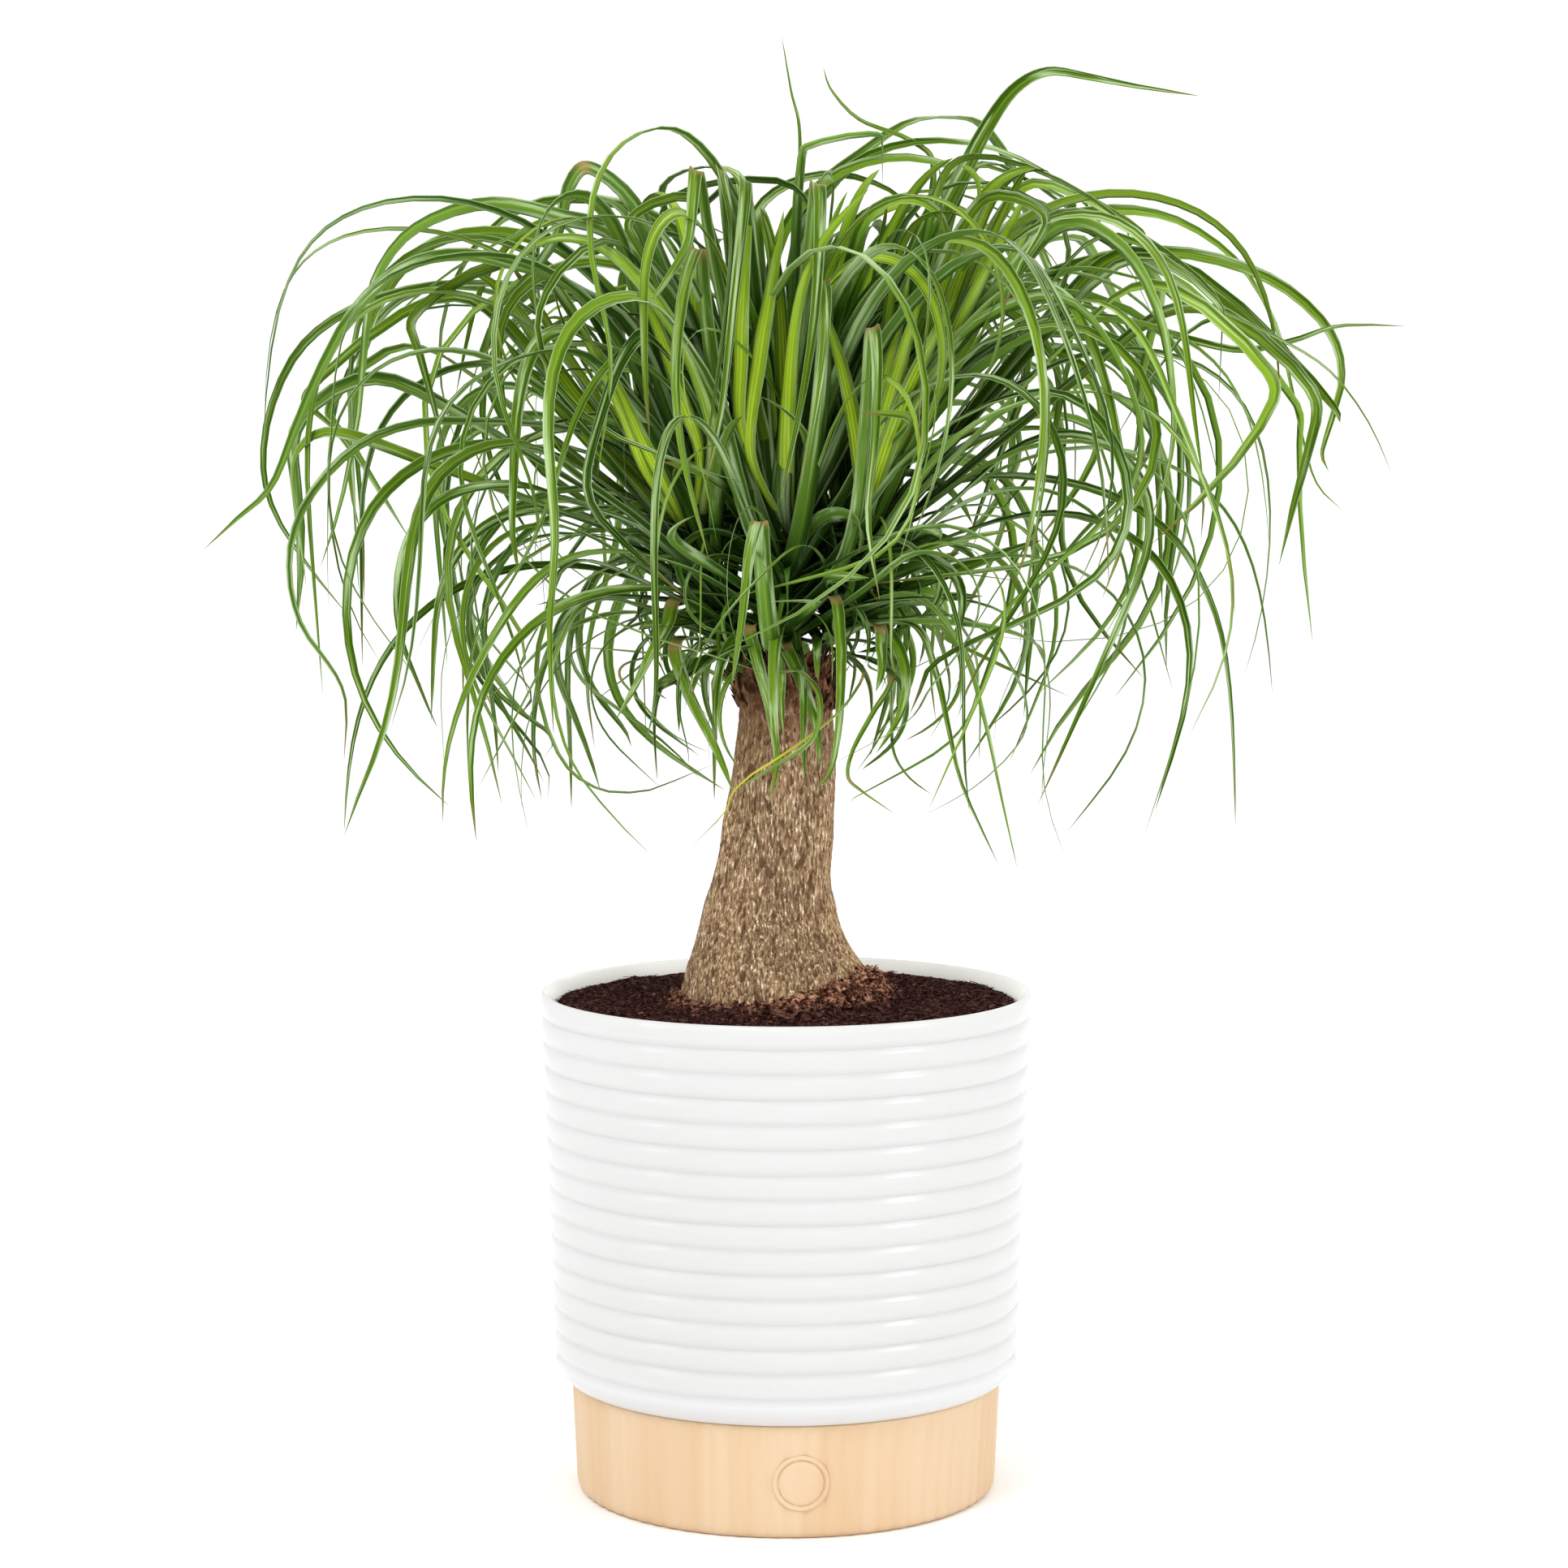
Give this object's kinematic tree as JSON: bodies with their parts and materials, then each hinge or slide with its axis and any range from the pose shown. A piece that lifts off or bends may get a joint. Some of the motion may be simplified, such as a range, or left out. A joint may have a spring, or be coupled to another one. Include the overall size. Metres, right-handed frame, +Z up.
{
  "type": "potted ponytail palm",
  "caption": "Ponytail palm with arching strap leaves on a swollen trunk, in soil in a ribbed white planter that stands in a fluted peach base.",
  "frame": {"origin": "middle of the base's flat underside, where the planter stands on the floor", "axes": "+Z up along the trunk; the front of the picture towards -Y; +X to the viewer's right"},
  "size_m": [0.521, 0.4227, 0.65],
  "materials": {
    "peach_plastic": "soft matt peach",
    "white_plastic": "soft gloss white",
    "soil": "crumbly, dark brown",
    "bark": "fissured corky bark",
    "leaf": "smooth green leaf with a slight sheen"
  },
  "bodies": {
    "root": {"pot_base": "peach_plastic", "pot_shell": "white_plastic", "soil": "soil", "trunk": "bark", "head_front": "leaf", "head_right": "leaf", "head_back": "leaf", "head_left": "leaf"}
  },
  "joints": []
}
